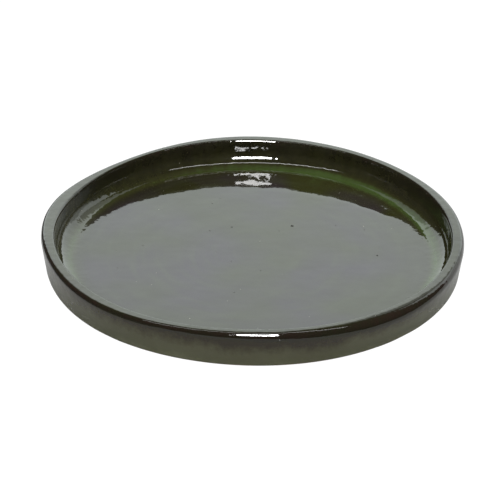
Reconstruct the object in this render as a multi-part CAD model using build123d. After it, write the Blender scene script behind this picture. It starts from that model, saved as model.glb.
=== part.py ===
"""A round glazed stoneware plant saucer: a fired clay dish and the skin of glaze fused to it.

The origin is the centre of the foot, on the surface that the saucer stands on, with +Z up.
The wall's section is worked out once, as (radius, height) stations from the foot up the outside,
over the lip, down the inside and into the well. Every station becomes a closed outline round the
dish, a little out of true as hand-worked clay is, and the skin is lofted from outline to outline.
Bearings and turns are degrees: bearings anticlockwise from +X, turns upwards from level.
"""

from build123d import *
from math import asin, cos, degrees, radians, sin
import os

# The glazed dish
rim_diameter = 300.0
base_diameter = 295.0
rim_height = 25.5
floor_height = 6.5
lip_width = 9.5
lip_outer_round_width = 3.6
lip_outer_round_height = 5.6
lip_inner_round_width = 1.75
lip_inner_round_height = 4.0
well_curve_width = 12.0
well_curve_height = 10.0
foot_round = 2.5

# The glaze, which stops just above the surface that the dish stands on
glaze_thickness = 0.5
glaze_line_height = 1.0

# The underside, turned hollow inside a broad foot ring
foot_ring_width = 12.0
recess_depth = 1.8
recess_slope_width = 3.0
recess_edge = 0.6

# How far the hand-worked rim strays from a true circle and from level, as shares of its radius.
# Each entry is the number of waves round the dish, the share, and the bearing of one crest.
outer_stray_shares = [
    (2, 0.0033, 180),
    (3, 0.0075, 74),
    (4, 0.0035, 76),
    (5, 0.0049, 14),
    (6, 0.0024, 45),
    (7, 0.0017, 11),
]
inner_stray_shares = [(2, 0.0029, 52), (3, 0.0041, 87), (4, 0.0017, 78), (5, 0.0021, 62), (6, 0.0016, 55)]
rim_lift_shares = [(2, 0.0033, 57), (3, 0.002, 19), (4, 0.0051, 10)]

# The foot is trued on the wheel, so it keeps only this share of the rim's stray
foot_stray_share = 0.4

# Steps that take the skin round each curve of the section, and the points of one outline
foot_steps = 2
lip_outer_steps = 4
lip_inner_steps = 3
well_steps = 4
outline_bearings = range(0, 360, 15)

rim_radius = rim_diameter / 2
base_radius = base_diameter / 2


def waves(stray_shares, bearing):
    """Sum of the cosine waves at one bearing, as a length."""
    return rim_radius * sum(
        share * cos(radians(count * (bearing - crest))) for count, share, crest in stray_shares
    )


def outline(radius, height, inner_share):
    """Closed outline round the dish; inner_share says how far it follows the lip's inner edge."""
    hold_share = foot_stray_share + (1 - foot_stray_share) * height / rim_height
    lift_share = max(0, (height - floor_height) / (rim_height - floor_height))
    points = []
    for bearing in outline_bearings:
        outer_stray = (1 - inner_share) * waves(outer_stray_shares, bearing)
        inner_stray = inner_share * waves(inner_stray_shares, bearing)
        reach = radius + hold_share * (outer_stray + inner_stray)
        lift = lift_share**2 * waves(rim_lift_shares, bearing)
        points.append((reach * cos(radians(bearing)), reach * sin(radians(bearing)), height + lift))
    return Wire([Spline(*points, periodic=True)])


def curve(centre, reach, turns, steps, inner_share):
    """Stations along an elliptical arc of the section, from the first to the last of two turns."""
    first, last = turns
    stations = []
    for step in range(steps + 1):
        turn = radians(first + (last - first) * step / steps)
        stations.append((centre[0] + reach[0] * cos(turn), centre[1] + reach[1] * sin(turn), inner_share))
    return stations


def well_centre():
    """Centre of the curve from wall to floor; the inner wall down to it is parallel to the outer."""
    centre_height = floor_height + well_curve_height
    outer_wall_rise = rim_height - lip_outer_round_height - foot_round
    inner_wall_rise = rim_height - lip_inner_round_height - centre_height
    inner_wall_lean = inner_wall_rise * (rim_radius - base_radius) / outer_wall_rise
    return rim_radius - lip_width - inner_wall_lean - well_curve_width, centre_height


def section(skin, bottom):
    """Stations of the wall's section with a skin's thickness taken off, starting at a height."""
    foot = curve(
        (base_radius - foot_round, foot_round),
        (foot_round - skin, foot_round),
        (-degrees(asin(1 - bottom / foot_round)), 0),
        foot_steps,
        0,
    )
    lip_outer = curve(
        (rim_radius - lip_outer_round_width, rim_height - lip_outer_round_height),
        (lip_outer_round_width - skin, lip_outer_round_height - skin),
        (0, 90),
        lip_outer_steps,
        0,
    )
    lip_inner = curve(
        (rim_radius - lip_width + lip_inner_round_width, rim_height - lip_inner_round_height),
        (skin - lip_inner_round_width, lip_inner_round_height - skin),
        (90, 0),
        lip_inner_steps,
        1,
    )
    well = curve(
        well_centre(),
        (well_curve_width + skin, -well_curve_height - skin),
        (0, 90),
        well_steps,
        1,
    )
    return foot + lip_outer + lip_inner + well


def dish_form(skin, bottom):
    """Solid dish, lofted in narrow bands from its foot over the lip and down to its floor."""
    outlines = [outline(*station) for station in section(skin, bottom)]
    return Solid.make_loft(outlines, ruled=True)


def underside_recess():
    """Shallow turned hollow inside the foot ring, with a sloped edge."""
    mouth_radius = base_radius - foot_round - foot_ring_width
    with BuildPart() as recess:
        with BuildSketch(Plane.XZ):
            with BuildLine():
                Polyline(
                    (0, 0),
                    (mouth_radius, 0),
                    (mouth_radius - recess_slope_width, recess_depth),
                    (0, recess_depth),
                    close=True,
                )
            make_face()
        revolve(axis=Axis.Z)
    return recess.part


def clay_body(form):
    """Fired clay dish, bare on its foot ring and in the recess, whose two turned edges are eased."""
    dish = form - underside_recess()
    return chamfer(dish.edges().filter_by(GeomType.CIRCLE), recess_edge)


def glaze_coat(form):
    """Skin of glaze that fills the space between the glazed surface and the clay."""
    return dish_form(0, glaze_line_height) - form


os.makedirs("parts", exist_ok=True)
clay_form = dish_form(glaze_thickness, 0)
pieces = {"clay_body": clay_body(clay_form), "glaze_coat": glaze_coat(clay_form)}
for name, piece in pieces.items():
    export_step(piece, f"parts/{name}.step")
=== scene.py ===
from math import cos, pi, radians, sin, tan

import bpy
import numpy as np
from mathutils import Matrix, Vector


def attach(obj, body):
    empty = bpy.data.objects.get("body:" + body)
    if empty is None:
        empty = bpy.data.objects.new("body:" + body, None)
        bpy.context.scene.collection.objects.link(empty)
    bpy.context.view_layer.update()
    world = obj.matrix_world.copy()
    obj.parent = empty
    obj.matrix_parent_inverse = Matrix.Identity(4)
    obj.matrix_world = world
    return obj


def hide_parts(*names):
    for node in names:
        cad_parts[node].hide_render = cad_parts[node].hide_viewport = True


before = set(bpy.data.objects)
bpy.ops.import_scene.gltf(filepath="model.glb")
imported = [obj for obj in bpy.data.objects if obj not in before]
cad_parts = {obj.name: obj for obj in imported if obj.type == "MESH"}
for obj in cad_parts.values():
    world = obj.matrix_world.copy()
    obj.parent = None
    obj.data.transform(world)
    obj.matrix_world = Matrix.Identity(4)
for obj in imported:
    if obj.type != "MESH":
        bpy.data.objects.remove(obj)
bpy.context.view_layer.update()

# The fired clay body
# One thick round of coarse stoneware, worked by hand and trued on the wheel, so its rim strays a
# little from a circle and from level. The foot ring and the shallow recess inside it are left bare,
# with the fine rings of the turning tool.

mm = 0.001

rim_radius = 150 * mm
base_radius = 147.5 * mm
rim_height = 25.5 * mm
floor_height = 6.5 * mm
lip_width = 9.5 * mm
lip_outer_round_width = 3.6 * mm
lip_outer_round_height = 5.6 * mm
lip_inner_round_width = 1.75 * mm
lip_inner_round_height = 4 * mm
lip_overhang = 0.14 * mm
side_lean = 0.9 * mm
well_curve_width = 11.7 * mm
well_curve_height = 10 * mm
foot_round = 2.5 * mm
glaze_thickness = 0.5 * mm

# How far the rim strays from a circle and from level, as shares of its radius. Each row is the number
# of waves round the dish, the share, and the bearing of one crest in degrees.
outer_stray_shares = [
    (2, 0.0033, 180),
    (3, 0.0075, 74),
    (4, 0.0035, 76),
    (5, 0.0049, 14),
    (6, 0.0024, 45),
    (7, 0.0017, 11),
]
inner_stray_shares = [(2, 0.0029, 52), (3, 0.0041, 87), (4, 0.0017, 78), (5, 0.0021, 62), (6, 0.0016, 55)]
rim_lift_shares = [(2, 0.0033, 57), (3, 0.002, 19), (4, 0.0051, 10)]
foot_stray_share = 0.4

# How wide and how high the lip's outer rounding is at bearings in degrees, as shares of its sizes
rounding_shares = [
    (0, 1, 1),
    (180, 1, 1),
    (200, 0.75, 0.65),
    (240, 0.7, 0.6),
    (262, 0.9, 0.8),
    (278, 1.05, 1),
    (284, 1.3, 1.1),
    (292, 1.5, 1.1),
    (304, 2.1, 1.15),
    (312, 2.1, 1.15),
    (322, 1.8, 1.1),
    (332, 1.1, 1),
    (345, 1, 1),
    (360, 1, 1),
]

# How deep the hollow in the floor is at bearings in degrees, as shares of its greatest depth
hollow_shares = [
    (0, 0),
    (25, 0.1),
    (36, 0.8),
    (48, 1),
    (68, 0.8),
    (78, 0.4),
    (95, 0.3),
    (110, 0),
    (360, 0),
]

# The points of one ring, and the radius of the smallest ring, which a fan closes
ring_points = 512
smallest_radius = 2 * mm
bearings = np.linspace(0, 2 * pi, ring_points, endpoint=False)


def waves(shares):
    """Length at each bearing: the rim's radius times the sum of each row's share times the cosine of
    its count times the angle from its crest."""
    counts, sizes, crests = np.array(shares).T[:, :, None]
    return rim_radius * (sizes * np.cos(counts * (bearings - np.radians(crests)))).sum(0)


def around_dish(rows, column=1):
    """Value at every bearing, in straight steps between rows that start with a bearing in degrees."""
    table = np.array(rows)
    return np.interp(np.degrees(bearings), table[:, 0], table[:, column])


def arc(centre, reach, first, last, steps):
    """Stations (step, bearing, radius and height) on an elliptical arc: the centre plus the reach times
    the cosine and sine of a turn that goes evenly from the first to the last angle."""
    turn = np.radians(np.linspace(first + 0 * bearings, last + 0 * bearings, steps + 1))
    return np.stack([centre[0] + reach[0] * np.cos(turn), centre[1] + reach[1] * np.sin(turn)], 2)


def run(start, end, steps):
    """Stations evenly along a straight line, without its two ends."""
    share = np.linspace(0, 1, steps + 1)[1:-1, None, None]
    start, end = (np.broadcast_to(place, (ring_points, 2)) for place in (start, end))
    return start * (1 - share) + end * share


def wall_stations(skin, lowest_turn, steps):
    """Section of the wall with a skin's thickness taken off: foot round, outer wall, lip, inner wall and
    well curve, each an arc or a straight run, and how far each station follows the lip's inner edge.
    The lip's outer rounding changes round the dish. The inner wall stands back under the lip by its
    overhang, and forward at the left and right by the lean times the square of the bearing's cosine."""
    round_width = lip_outer_round_width * around_dish(rounding_shares, 1)
    round_height = lip_outer_round_height * around_dish(rounding_shares, 2)
    inner_radius = rim_radius - lip_width + lip_overhang - side_lean * np.cos(bearings) ** 2
    foot = arc(
        (base_radius - foot_round, foot_round),
        (foot_round - skin, foot_round),
        lowest_turn,
        0,
        steps,
    )
    lip_outer = arc(
        (rim_radius - round_width, rim_height - round_height),
        (round_width - skin, round_height - skin),
        0,
        90,
        2 * steps,
    )
    lip_inner = arc(
        (rim_radius - lip_width + lip_inner_round_width, rim_height - lip_inner_round_height),
        (skin - lip_inner_round_width, lip_inner_round_height - skin),
        90,
        0,
        steps,
    )
    well = arc(
        (inner_radius - well_curve_width, floor_height + well_curve_height),
        (well_curve_width + skin, -well_curve_height - skin),
        0,
        90,
        3 * steps,
    )
    outside = [foot, run(foot[-1], lip_outer[0], 2 * steps), lip_outer]
    crest = run(lip_outer[-1], lip_inner[0], steps)
    inside = [lip_inner, run(lip_inner[-1], well[0], 2 * steps), well]
    stations = np.concatenate([*outside, crest, *inside])
    shares = np.concatenate([
        np.zeros(sum(map(len, outside))),
        np.linspace(0, 1, len(crest) + 2)[1:-1],
        np.ones(sum(map(len, inside))),
    ])
    return stations, shares


def smooth(share):
    """Share that sets off and arrives gently: three times its square less twice its cube."""
    share = np.clip(share, 0, 1)
    return share**2 * (3 - 2 * share)


def floor_hollow(radius):
    """Depth of the shallow hollow in the floor in front of the wall at the back right: its share at each
    bearing of the greatest depth, setting in with nearness to the lip's inner edge straight behind it,
    and running out where the well curve begins."""
    greatest_depth = 0.55 * mm
    first_gap = 46 * mm
    full_gap = 28 * mm
    end_radius = 128 * mm
    end_width = 10 * mm
    across, back = radius * np.cos(bearings), radius * np.sin(bearings)
    lip_back = np.sqrt(np.clip((rim_radius - lip_width) ** 2 - across**2, 0, None))
    gap = lip_back - back
    begun = smooth((first_gap - gap) / (first_gap - full_gap))
    left = smooth((end_radius - radius) / end_width)
    return greatest_depth * around_dish(hollow_shares) * begun * left


def hand_worked(stations, inner_shares):
    """Points (station, bearing, xyz): every station's circle, pushed out and lifted by the rim's waves in
    proportion to its height, truer towards the middle, and sunk where the floor is hollow."""
    true_radius = base_radius / 2
    radius, height = stations[:, :, 0], stations[:, :, 1]
    hold = foot_stray_share + (1 - foot_stray_share) * height / rim_height
    rise = np.clip((height - floor_height) / (rim_height - floor_height), 0, None)
    share = inner_shares[:, None]
    stray = (1 - share) * waves(outer_stray_shares) + share * waves(inner_stray_shares)
    reach = radius + hold * stray * np.clip(radius / true_radius, 0, 1)
    lifted = height + rise**2 * waves(rim_lift_shares) - share * floor_hollow(radius)
    return np.stack([reach * np.cos(bearings), reach * np.sin(bearings), lifted], 2)


def with_poles(values):
    """Rows of ring values (ring, bearing, part), with one pole before them and one after, each of which
    has the mean of the ring beside it."""
    return np.concatenate([values[:1].mean(1), values.reshape(-1, values.shape[2]), values[-1:].mean(1)])


def new_piece(name, points, faces):
    """Object of a mesh with these points and faces, at the origin."""
    mesh = bpy.data.meshes.new(name)
    mesh.from_pydata(points, [], faces)
    piece = bpy.data.objects.new(name, mesh)
    bpy.context.scene.collection.objects.link(piece)
    return piece


def closed_form(name, rings):
    """Piece over rings that run from a pole under the dish, round its outside, to a pole above: faces of
    four sides between neighbouring rings, and a fan of triangles from each pole to the ring beside it."""
    points = with_poles(rings)
    here = 1 + np.arange(ring_points)
    after = 1 + (np.arange(ring_points) + 1) % ring_points
    lower = ring_points * np.arange(len(rings) - 1)[:, None]
    upper = lower + ring_points
    bands = np.stack([here + lower, after + lower, after + upper, here + upper], 2).reshape(-1, 4)
    top = ring_points * (len(rings) - 1)
    below = np.stack([after, here, np.zeros(ring_points, int)], 1)
    above = np.stack([here + top, after + top, np.full(ring_points, len(points) - 1)], 1)
    piece = new_piece(name, points.tolist(), bands.tolist() + below.tolist() + above.tolist())
    piece.data.polygons.foreach_set("use_smooth", np.ones(len(piece.data.polygons), bool))
    return piece


def clay_rings():
    """Rings of the clay: the recess with turned rings as a sine of the radius, its slope and the foot
    ring with eased edges, then the wall's section a glaze's thickness down, and the floor."""
    foot_ring_width = 12 * mm
    recess_depth = 1.8 * mm
    slope_width = 3 * mm
    edge = 0.6 * mm
    eased_height = edge / 3
    turning_pitch = 3.1 * mm
    turning_depth = 0.06 * mm
    straight_down = -90
    recess_rings = 110
    tread_steps = 6
    wall_steps = 3
    floor_steps = 12
    mouth = base_radius - foot_round - foot_ring_width
    inner = mouth - slope_width
    radius = np.linspace(smallest_radius, inner - edge, recess_rings)
    turning = turning_depth * (1 + np.sin(2 * pi * radius / turning_pitch)) / 2
    recess = np.stack([radius, recess_depth - turning], 1)
    slope = np.array([
        (inner, recess_depth - eased_height),
        (inner + edge, recess_depth - edge),
        (mouth - edge, edge),
        (mouth, eased_height),
        (mouth + edge, 0),
    ])
    under = np.concatenate([recess, slope])[:, None] + np.zeros((1, ring_points, 1))
    tread = run((mouth + edge, 0), (base_radius - foot_round, 0), tread_steps)
    wall, wall_shares = wall_stations(glaze_thickness, straight_down, wall_steps)
    floor = run(wall[-1], (smallest_radius, floor_height - glaze_thickness), floor_steps)
    stations = np.concatenate([under, tread, wall, floor])
    shares = np.concatenate([np.zeros(len(under) + len(tread)), wall_shares, np.ones(len(floor))])
    return hand_worked(stations, shares)


clay_body = closed_form("clay_body_fired", clay_rings())


def new_finish(name):
    """New material, its tree and its main shader."""
    material = bpy.data.materials.new(name)
    material.use_nodes = True
    return material, material.node_tree, material.node_tree.nodes["Principled BSDF"]


def add(tree, kind, inputs=None, **settings):
    """A new node in a material's tree: each input takes a value or the output that feeds it."""
    node = tree.nodes.new("ShaderNode" + kind)
    for name, value in settings.items():
        setattr(node, name, value)
    for name, value in (inputs or {}).items():
        if isinstance(value, bpy.types.NodeSocket):
            tree.links.new(value, node.inputs[name])
        else:
            node.inputs[name].default_value = value
    return node


def noise(tree, place, scale, detail, **more):
    """Clouds, about as many to a metre as the scale says, from 0 to 1 and mostly near a half."""
    inputs = {"Vector": place, "Scale": scale, "Detail": detail, **more}
    return add(tree, "TexNoise", inputs).outputs["Fac"]


def carried(tree, value, low, high, at_low=0, at_high=1):
    """Value carried evenly from the range between low and high to another one, and held at its ends."""
    inputs = {"Value": value, "From Min": low, "From Max": high, "To Min": at_low, "To Max": at_high}
    return add(tree, "MapRange", inputs).outputs["Result"]


def spots(tree, place, scale, core, edge):
    """Mask of small round spots, 1 within the core and 0 beyond the edge, as shares of their spacing."""
    distance = add(tree, "TexVoronoi", {"Vector": place, "Scale": scale}).outputs["Distance"]
    return carried(tree, distance, core, edge, at_low=1, at_high=0)


def ramp(tree, feed, stops):
    """Colour that goes through the stops (place, red, green, blue) as its feed goes from 0 to 1."""
    node = add(tree, "ValToRGB", {"Fac": feed})
    elements = node.color_ramp.elements
    while len(elements) < len(stops):
        elements.new(1)
    for element, (place, *colour) in zip(elements, stops):
        element.position = place
        element.color = (*colour, 1)
    return node.outputs["Color"]


def blend(tree, factor, first, second):
    """Colour that goes from the first to the second as the factor goes from 0 to 1."""
    inputs = {"Factor": factor, "A": first, "B": second}
    return add(tree, "Mix", inputs, data_type="RGBA").outputs["Result"]


def fired_clay():
    """Bare stoneware: warm buff clay with paler and darker clouds, iron specks and coarse grit."""
    buff_stops = [(0.32, 0.30, 0.19, 0.115), (0.68, 0.46, 0.33, 0.22)]
    iron_brown = (0.12, 0.065, 0.035, 1)
    material, tree, shader = new_finish("fired_clay")
    shader.inputs["Roughness"].default_value = 0.86
    shader.inputs["Specular IOR Level"].default_value = 0.3
    place = add(tree, "TexCoord").outputs["Object"]
    buff = ramp(tree, noise(tree, place, scale=28, detail=5), buff_stops)
    iron_specks = spots(tree, place, scale=520, core=0.10, edge=0.20)
    tree.links.new(blend(tree, iron_specks, buff, iron_brown), shader.inputs["Base Color"])
    grit = noise(tree, place, scale=900, detail=3)
    rough = add(tree, "Bump", {"Height": grit, "Strength": 0.5, "Distance": 0.4 * mm})
    tree.links.new(rough.outputs["Normal"], shader.inputs["Normal"])
    return material


clay_body.data.materials.append(fired_clay())
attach(clay_body, "root")
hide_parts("clay_body")

# The glaze coat
# A skin of dark green glass about half a millimetre thick, dipped or poured over everything but the
# foot. It ran while it was molten, so it is thin and brown on the lip's edges, deep green in the curve
# between wall and floor, and its surface has the faint ripple of orange peel.

glaze_line_height = 1.0 * mm


def swell(points, wavelength, seed):
    """Smooth uneven share of the surface, about 1 and from 0 to 2: one plus half the sum of thirty cosine
    waves of nearly one wavelength, each in its own random direction and phase, over the square root of
    half their number."""
    shortest_share, longest_share = 0.7, 1.4
    count = 30
    rng = np.random.default_rng(seed)
    turns = rng.normal(size=(count, 3))
    turns /= np.linalg.norm(turns, axis=1, keepdims=True)
    turns *= 2 * pi / (wavelength * rng.uniform(shortest_share, longest_share, (count, 1)))
    total = np.zeros(points.shape[:-1])
    for turn, phase in zip(turns, rng.uniform(0, 2 * pi, count)):
        total += np.cos(points @ turn + phase)
    return np.clip(1 + total / np.sqrt(count / 2) / 2, 0, 2)


def sunk(stations, shares, line_height):
    """Stations pushed into the glaze along the section's normal by two sizes of swell, never outwards,
    and not at all at the glaze line."""
    slow_depth, slow_wavelength = 0.05 * mm, 32 * mm
    quick_depth, quick_wavelength = 0.02 * mm, 11 * mm
    free_height = 2 * mm
    points = hand_worked(stations, shares)
    slow = slow_depth * swell(points, slow_wavelength, seed=4)
    quick = quick_depth * swell(points, quick_wavelength, seed=9)
    hold = np.clip((stations[:, :, 1] - line_height) / free_height, 0, 1)
    along = np.gradient(stations, axis=0)
    normal = np.stack([along[:, :, 1], -along[:, :, 0]], 2)
    normal /= np.linalg.norm(normal, axis=2, keepdims=True)
    return stations - normal * (hold * (slow + quick))[:, :, None]


def glaze_rings():
    """Rings of the glaze: out along its inner face from the floor's centre, over the lip and down to the
    glaze line, across its edge there, and back along its outer face. The line rises and falls a little.
    Also each ring's distance along the section from the lip's crest, outwards negative."""
    crest_share = 0.5
    line_stray = 0.25 * mm
    line_wavelength = 25 * mm
    inner_wall_steps, inner_floor_steps = 2, 10
    outer_wall_steps, outer_floor_steps = 6, 70
    edge_steps = 2
    rim = np.stack([rim_radius * np.cos(bearings), rim_radius * np.sin(bearings), 0 * bearings], 1)
    line_height = glaze_line_height + line_stray * swell(rim, line_wavelength, seed=2)
    line_turn = -np.degrees(np.arcsin(1 - line_height / foot_round))
    inner, inner_shares = wall_stations(glaze_thickness, line_turn, inner_wall_steps)
    outer, outer_shares = wall_stations(0, line_turn, outer_wall_steps)
    under_floor = run(inner[-1], (smallest_radius, inner[-1, 0, 1]), inner_floor_steps)
    floor = run(outer[-1], (smallest_radius, outer[-1, 0, 1]), outer_floor_steps)
    back = np.concatenate([inner, under_floor])[::-1]
    back_shares = np.concatenate([inner_shares, np.ones(len(under_floor))])[::-1]
    edge = run(inner[0], outer[0], edge_steps)
    face_shares = np.concatenate([outer_shares, np.ones(len(floor))])
    face = sunk(np.concatenate([outer, floor]), face_shares, line_height)
    stations = np.concatenate([back, edge, face])
    shares = np.concatenate([back_shares, np.zeros(len(edge)), face_shares])
    steps = np.linalg.norm(np.diff(face[:, 0], axis=0), axis=1)
    along = np.concatenate([[0], np.cumsum(steps)])
    along -= np.interp(crest_share, outer_shares, along[: len(outer)])
    hidden = np.full(len(back) + len(edge), along[0])
    return hand_worked(stations, shares), np.concatenate([hidden, along])


glaze_points, crest_distances = glaze_rings()
glaze_coat = closed_form("glaze_coat_fired", glaze_points)


def along_section(rows):
    """Column of a value for every ring, in straight steps between rows of a distance in millimetres from
    the lip's crest, outwards negative, and the value there."""
    places, values = np.array(rows).T
    return np.interp(crest_distances / mm, places, values)[:, None]


# How deep the glaze lies along the section, from 0 where the clay shows through to 1 in the pool
depth_shares = [
    (-31, 0.74),
    (-26, 0.74),
    (-20, 0.68),
    (-12, 0.60),
    (-9, 0.34),
    (-6.5, 0.08),
    (-4, 0.10),
    (-2, 0.50),
    (1.5, 0.56),
    (3, 0.16),
    (5, 0.22),
    (12, 0.36),
    (19, 0.44),
    (21, 0.60),
    (22.5, 0.84),
    (27, 1.0),
    (29.5, 0.86),
    (32, 0.58),
    (38, 0.60),
    (60, 0.60),
]

# How much deeper the pool is round the dish, and how much of that holds along the section
pool_shares = [
    (0, -0.04),
    (45, 0.04),
    (70, 0.10),
    (95, -0.14),
    (130, -0.34),
    (155, -0.26),
    (200, -0.12),
    (270, -0.05),
    (360, -0.04),
]
pool_reach_shares = [(19, 0), (23, 1), (36, 1), (60, 0.3)]

# How strongly the depth sways, and where the inner wall, the outer wall and the floor lie
sway_shares = [(-12, 1.2), (-7, 1), (15, 1), (26, 0.7), (40, 0.3)]
wall_shares = [(2, 0), (5, 1), (16, 1), (20, 0)]
outside_shares = [(-11, 1), (-8, 0)]
floor_shares = [(26, 0), (40, 1)]

# How near the foot the outer wall is, and how much nearer to the lip its front counts
foot_shares = [(-31, 1), (-9, 0)]
thin_front_shares = [(0, 0), (255, 0), (265, -0.1), (288, -0.1), (298, 0), (360, 0)]

# How milky and how dull the inner wall is round the dish; the milky veil also paints in a soft sheen, most
# at the left
milky_sheen_shares = [
    (0, 0),
    (40, 0.25),
    (120, 0.25),
    (140, 0),
    (152, 0),
    (168, 0.7),
    (190, 0.8),
    (215, 0.2),
    (320, 0),
    (360, 0),
]
satin_shares = [
    (0, 0.3),
    (30, 0.3),
    (60, 0),
    (120, 0),
    (145, 1),
    (200, 1),
    (230, 0),
    (330, 0),
    (360, 0.3),
]

pools = along_section(pool_reach_shares) * around_dish(pool_shares)
painted_shares = {
    "glaze_depth": along_section(depth_shares) + pools,
    "floor_share": along_section(floor_shares),
    "outside_share": along_section(outside_shares),
    "foot_share": along_section(foot_shares) + around_dish(thin_front_shares),
    "veil_and_sheen_share": along_section(wall_shares) * around_dish(milky_sheen_shares),
    "satin_share": along_section(wall_shares) * around_dish(satin_shares),
    "mottle_swing": along_section(sway_shares),
}
for name, values in painted_shares.items():
    values = np.broadcast_to(values, glaze_points.shape[:2])
    paint = glaze_coat.data.attributes.new(name, "FLOAT", "POINT").data
    paint.foreach_set("value", with_poles(values[:, :, None]).ravel().astype(np.float32))

# Places whose clouds are drawn out into runs down the wall, and into turned bands round the floor
run_stretch_share = 0.16
wall_run = np.stack(np.broadcast_arrays(
    crest_distances[:, None] * run_stretch_share,
    rim_radius * np.cos(bearings),
    rim_radius * np.sin(bearings),
), 2)
floor_run = glaze_points * run_stretch_share
floor_run[:, :, 2] = np.linalg.norm(glaze_points[:, :, :2], axis=2)
for name, places in (("wall_run", wall_run), ("floor_run", floor_run)):
    paint = glaze_coat.data.attributes.new(name, "FLOAT_VECTOR", "POINT").data
    paint.foreach_set("vector", with_poles(places).ravel().astype(np.float32))


def painted(tree, name, output="Fac"):
    """What is painted on the glaze's points under a name."""
    return add(tree, "Attribute", attribute_name=name).outputs[output]


def worked_out(tree, operation, *values):
    """Result of one operation on two or three values."""
    return add(tree, "Math", dict(enumerate(values)), operation=operation).outputs["Value"]


def about_zero(tree, clouds):
    """Clouds less the half that they sway about."""
    return worked_out(tree, "SUBTRACT", clouds, 0.5)


def depth_colour(tree, clouds):
    """Colour by the glaze's depth, swayed by runs down the wall and by clouds: brown where it is thin,
    then olive, and green in the pool."""
    run_strength = 0.45
    cloud_strength = 0.5
    stops = [
        (0.0, 0.019, 0.012, 0.008),
        (0.22, 0.0145, 0.0135, 0.0065),
        (0.45, 0.020, 0.0195, 0.0065),
        (0.68, 0.027, 0.028, 0.0085),
        (1.0, 0.041, 0.064, 0.016),
    ]
    runs = noise(tree, painted(tree, "wall_run", "Vector"), scale=230, detail=3)
    cloud_part = worked_out(tree, "MULTIPLY", about_zero(tree, clouds), cloud_strength)
    mottle = worked_out(tree, "MULTIPLY_ADD", about_zero(tree, runs), run_strength, cloud_part)
    swing, depth = painted(tree, "mottle_swing"), painted(tree, "glaze_depth")
    return ramp(tree, worked_out(tree, "MULTIPLY_ADD", mottle, swing, depth), stops)


def outside_colour(tree, veils):
    """Colour of the outer wall by its nearness to the foot, swayed by fine veils: brown under the lip,
    paler and greener towards the foot."""
    veil_strength = 0.9
    stops = [
        (0.06, 0.024, 0.017, 0.006),
        (0.20, 0.050, 0.046, 0.019),
        (0.40, 0.082, 0.081, 0.041),
        (0.70, 0.096, 0.099, 0.052),
        (0.90, 0.126, 0.131, 0.073),
    ]
    foot_share = painted(tree, "foot_share")
    tone = worked_out(tree, "MULTIPLY_ADD", about_zero(tree, veils), veil_strength, foot_share)
    return ramp(tree, tone, stops)


def floor_colour(tree, place, floor_share, colour):
    """Colour given, with violet smudges and olive turned bands where it is on the floor."""
    smudge_violet = (0.027, 0.0198, 0.0265, 1)
    smudge_shift = (0.12, 0, 0)
    band_olive = (0.045, 0.052, 0.026, 1)
    band_strength = 0.4
    moved = add(tree, "VectorMath", {0: place, 1: smudge_shift}, operation="ADD").outputs["Vector"]
    smudge = carried(tree, noise(tree, moved, scale=17, detail=2), low=0.40, high=0.68)
    colour = blend(tree, worked_out(tree, "MULTIPLY", smudge, floor_share), colour, smudge_violet)
    bands = noise(tree, painted(tree, "floor_run", "Vector"), scale=170, detail=2)
    band = worked_out(tree, "MULTIPLY", carried(tree, bands, low=0.45, high=0.85), floor_share)
    return blend(tree, worked_out(tree, "MULTIPLY", band, band_strength), colour, band_olive)


def pinholes(tree, place):
    """Mask of the pinholes: chance ones, and three in the floor, each 1 within half its radius and 0 at
    its radius. A row is the place across and back, and the radius."""
    floor_pinholes = [
        (28.5 * mm, 42 * mm, 1.4 * mm),
        (-15.5 * mm, 39 * mm, 0.8 * mm),
        (89 * mm, -1 * mm, 0.8 * mm),
    ]
    holes = spots(tree, place, scale=62, core=0.012, edge=0.03)
    for across, back, radius in floor_pinholes:
        centre = (across, back, floor_height)
        distance = add(tree, "VectorMath", {0: place, 1: centre}, operation="DISTANCE").outputs["Value"]
        hole = carried(tree, distance, radius / 2, radius, at_low=1, at_high=0)
        holes = worked_out(tree, "MAXIMUM", holes, hole)
    return holes


def orange_peel(tree, place, floor_share, holes):
    """Direction that the surface faces: a fine ripple, slighter on the floor, with the pinholes sunk."""
    wall_strength, floor_change = 2.2, -1.75
    ripple_depth = 0.08 * mm
    hole_depth = 0.25 * mm
    peel = noise(tree, place, scale=190, detail=1.5)
    strength = worked_out(tree, "MULTIPLY_ADD", floor_share, floor_change, wall_strength)
    height = worked_out(tree, "MULTIPLY", about_zero(tree, peel), strength)
    ripple = add(tree, "Bump", {"Height": height, "Strength": 1, "Distance": ripple_depth})
    unholed = worked_out(tree, "SUBTRACT", 1, holes)
    sunk_holes = {"Height": unholed, "Distance": hole_depth, "Normal": ripple.outputs["Normal"]}
    return add(tree, "Bump", sunk_holes).outputs["Normal"]


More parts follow.
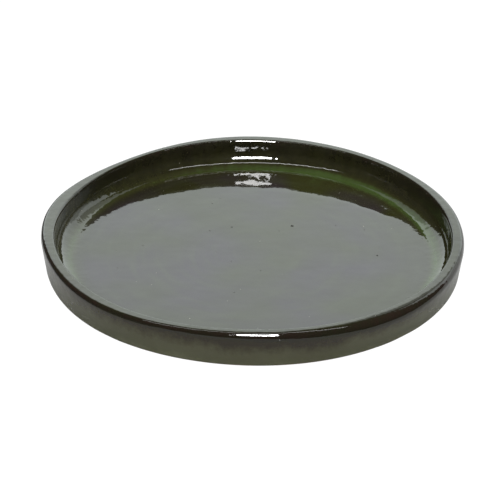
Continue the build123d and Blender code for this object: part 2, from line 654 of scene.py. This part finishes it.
def green_glaze():
    """Dark green glass over brown clay: its colour by depth inside and by height outside, milky veils on
    the inner wall that also paint in a soft sheen at its sides, smudges and turned bands on the floor,
    pinholes painted near black as shade inside them, pale specks, orange peel, and a gloss that is duller
    in the clouds, at the inner wall's sides and in the pinholes."""
    milky_sheen_olive = (0.060, 0.056, 0.031, 1)
    hole_shade_black = (0.006, 0.005, 0.003, 1)
    speck_cream = (0.30, 0.29, 0.24, 1)
    glossiest, dullest = 0.03, 0.06
    satin_roughness = 0.22
    hole_roughness = 0.8
    material, tree, shader = new_finish("green_glaze")
    shader.inputs["IOR"].default_value = 1.5
    place = add(tree, "TexCoord").outputs["Object"]
    floor_share = painted(tree, "floor_share")
    clouds = noise(tree, place, scale=48, detail=4)
    veils = noise(tree, place, scale=52, detail=8, Roughness=0.8)
    # Milky veils on the inner wall, which also paint in the soft sheen that its sides show, most at the
    # left.
    milky_sheen = carried(tree, veils, low=0.40, high=0.60)
    milky_sheen = worked_out(tree, "MULTIPLY", milky_sheen, painted(tree, "veil_and_sheen_share"))
    holes = pinholes(tree, place)
    colour = blend(tree, milky_sheen, depth_colour(tree, clouds), milky_sheen_olive)
    colour = blend(tree, painted(tree, "outside_share"), colour, outside_colour(tree, veils))
    colour = floor_colour(tree, place, floor_share, colour)
    # Pinholes painted near black: painted shade inside each hole.
    colour = blend(tree, holes, colour, hole_shade_black)
    colour = blend(tree, spots(tree, place, scale=78, core=0.012, edge=0.03), colour, speck_cream)
    tree.links.new(colour, shader.inputs["Base Color"])
    cloud_gloss = carried(tree, clouds, low=0.3, high=0.75, at_low=glossiest, at_high=dullest)
    satin = worked_out(tree, "MULTIPLY_ADD", painted(tree, "satin_share"), satin_roughness, cloud_gloss)
    roughness = worked_out(tree, "MULTIPLY_ADD", holes, hole_roughness, satin)
    tree.links.new(roughness, shader.inputs["Roughness"])
    tree.links.new(orange_peel(tree, place, floor_share, holes), shader.inputs["Normal"])
    return material


glaze_coat.data.materials.append(green_glaze())
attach(glaze_coat, "root")
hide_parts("glaze_coat")

# The table
# A plain pale matt board, much wider than the picture, on which the saucer stands. The camera sees it
# almost white all over, and the saucer mirrors it as grey.

table_half = 1.5
table_grey = (0.5, 0.5, 0.5, 1)
glow_strength = 1.12
glow_share = 0.9
table_corners = [(table_half * x, table_half * y, 0) for x, y in ((-1, -1), (1, -1), (1, 1), (-1, 1))]
table_top = new_piece("table_top", table_corners, [(0, 1, 2, 3)])
table_finish, table_tree, matt = new_finish("table_finish")
matt.inputs["Base Color"].default_value = table_grey
matt.inputs["Roughness"].default_value = 0.9
matt.inputs["Specular IOR Level"].default_value = 0.0
glow = add(table_tree, "Emission", {"Color": (1, 1, 1, 1), "Strength": glow_strength})
camera_ray = add(table_tree, "LightPath").outputs["Is Camera Ray"]
glow_seen = worked_out(table_tree, "MULTIPLY", camera_ray, glow_share)
table_mix = {0: glow_seen, 1: matt.outputs["BSDF"], 2: glow.outputs["Emission"]}
paled = add(table_tree, "MixShader", table_mix)
table_tree.links.new(paled.outputs["Shader"], table_tree.nodes["Material Output"].inputs["Surface"])
table_top.data.materials.append(table_finish)

# The dark cloth
# A black cloth laid over the table's back left part, out of the picture, which darkens what the
# saucer's left side mirrors. Only mirrored light sees it.

cloth_start, cloth_end = radians(100), radians(235)
cloth_inner, cloth_outer = 0.19, 1.6
cloth_lift = 1 * mm
cloth_black = (0.02, 0.02, 0.02, 1)
cloth_steps = 24
cloth_turns = np.linspace(cloth_start, cloth_end, cloth_steps + 1)
cloth_rims = [(r * np.cos(cloth_turns), r * np.sin(cloth_turns)) for r in (cloth_inner, cloth_outer)]
cloth_points = np.concatenate([np.stack([x, y, cloth_lift + 0 * x], 1) for x, y in cloth_rims])
near = np.arange(cloth_steps)
far = near + cloth_steps + 1
cloth_faces = np.stack([near, far, far + 1, near + 1], 1)
dark_cloth = new_piece("dark_cloth", cloth_points.tolist(), cloth_faces.tolist())
cloth_finish, _, cloth_shader = new_finish("black_cloth")
cloth_shader.inputs["Base Color"].default_value = cloth_black
cloth_shader.inputs["Roughness"].default_value = 1.0
dark_cloth.data.materials.append(cloth_finish)
dark_cloth.visible_camera = False
dark_cloth.visible_diffuse = False
dark_cloth.visible_shadow = False

# The light
# A broad bright screen in five parts behind the table, a softbox above the camera and a long narrow
# lamp overhead, which the glaze mirrors. A ceiling and a fill light brighten only what is matt, and the
# room is dim.


def lamp(name, place, width, height, radiance, aim=(0, 0, 0), colour=(1, 1, 1), diffuse=True, glossy=True):
    """Flat rectangular light of an even radiance, turned from its place towards the aim. Its power is
    the radiance times pi times its area. It can be left out of matt or of mirrored light."""
    light = bpy.data.lights.new(name, "AREA")
    light.shape = "RECTANGLE"
    light.size = width
    light.size_y = height
    light.energy = radiance * pi * width * height
    light.color = colour
    holder = bpy.data.objects.new(name, light)
    holder.location = place
    holder.rotation_euler = (Vector(aim) - Vector(place)).to_track_quat("-Z", "Y").to_euler()
    holder.visible_camera = False
    holder.visible_diffuse = diffuse
    holder.visible_glossy = glossy
    bpy.context.scene.collection.objects.link(holder)


# Each part of the screen, as the saucer sees it: its left and right edge from straight back and its
# low and high edge from level, in degrees, and its share of the screen's radiance
screen_parts = {
    "screen": (-38, 43, 5, 38, 1.0),
    "screen_top": (-38, 43, 38, 52, 0.4),
    "screen_side": (43, 64, 0, 33, 0.5),
    "screen_side_middle": (43, 64, 33, 47, 0.95),
    "screen_side_top": (43, 64, 47, 60, 0.9),
}
screen_distance = 1.7
screen_radiance = 2.14
screen_colour = (0.88, 0.957, 0.945)
for name, (left, right, low, high, share) in screen_parts.items():
    x0, x1, z0, z1 = (screen_distance * tan(radians(turn)) for turn in (left, right, low, high))
    place = ((x0 + x1) / 2, screen_distance, (z0 + z1) / 2)
    facing = (place[0], 0, place[2])
    lamp(name, place, x1 - x0, z1 - z0, share * screen_radiance, aim=facing, colour=screen_colour)
softbox_distance = 1.2
softbox_rise = radians(39.5)
softbox_place = (0.03, -softbox_distance * cos(softbox_rise), softbox_distance * sin(softbox_rise))
lamp("softbox", place=softbox_place, width=0.4, height=0.32, radiance=130, diffuse=False)
lamp("long_lamp", place=(0, -0.17, 1.2), width=1.5, height=0.08, radiance=12, diffuse=False)
lamp("ceiling", place=(0, 0, 2.5), width=3.0, height=3.0, radiance=3.2, glossy=False)
lamp("fill", place=(0, -1.6, 1.1), width=2.0, height=1.2, radiance=1.6, glossy=False)

room_grey = (0.06, 0.06, 0.06, 1)
room = bpy.data.worlds.new("room")
bpy.context.scene.world = room
room.use_nodes = True
room_tree = room.node_tree
dim = room_tree.nodes["Background"]
dim.inputs["Color"].default_value = room_grey
white = add(room_tree, "Background", {"Color": (1, 1, 1, 1)})
seen = add(room_tree, "LightPath").outputs["Is Camera Ray"]
room_mix = {0: seen, 1: dim.outputs["Background"], 2: white.outputs["Background"]}
choice = add(room_tree, "MixShader", room_mix)
room_tree.links.new(choice.outputs["Shader"], room_tree.nodes["World Output"].inputs["Surface"])
bpy.context.scene.view_settings.view_transform = "Standard"

# The camera
# A long lens about two metres in front of the saucer, a little under thirty degrees above level, and
# turned by less than a degree about its own line of sight.

camera_distance = 2.1
camera_rise = radians(28.78)
camera_roll = radians(0.69)
aim_point = Vector((-2.06 * mm, 0, 9.2 * mm))
eye = bpy.data.cameras.new("camera")
eye.lens = 211.65
eye.sensor_width = 36
eye.clip_start = 0.1
camera = bpy.data.objects.new("camera", eye)
away = Vector((0, -cos(camera_rise), sin(camera_rise)))
camera.location = aim_point + camera_distance * away
straight = (-away).to_track_quat("-Z", "Y").to_matrix()
camera.rotation_euler = (straight @ Matrix.Rotation(camera_roll, 3, "Z")).to_euler()
bpy.context.scene.collection.objects.link(camera)
bpy.context.scene.camera = camera
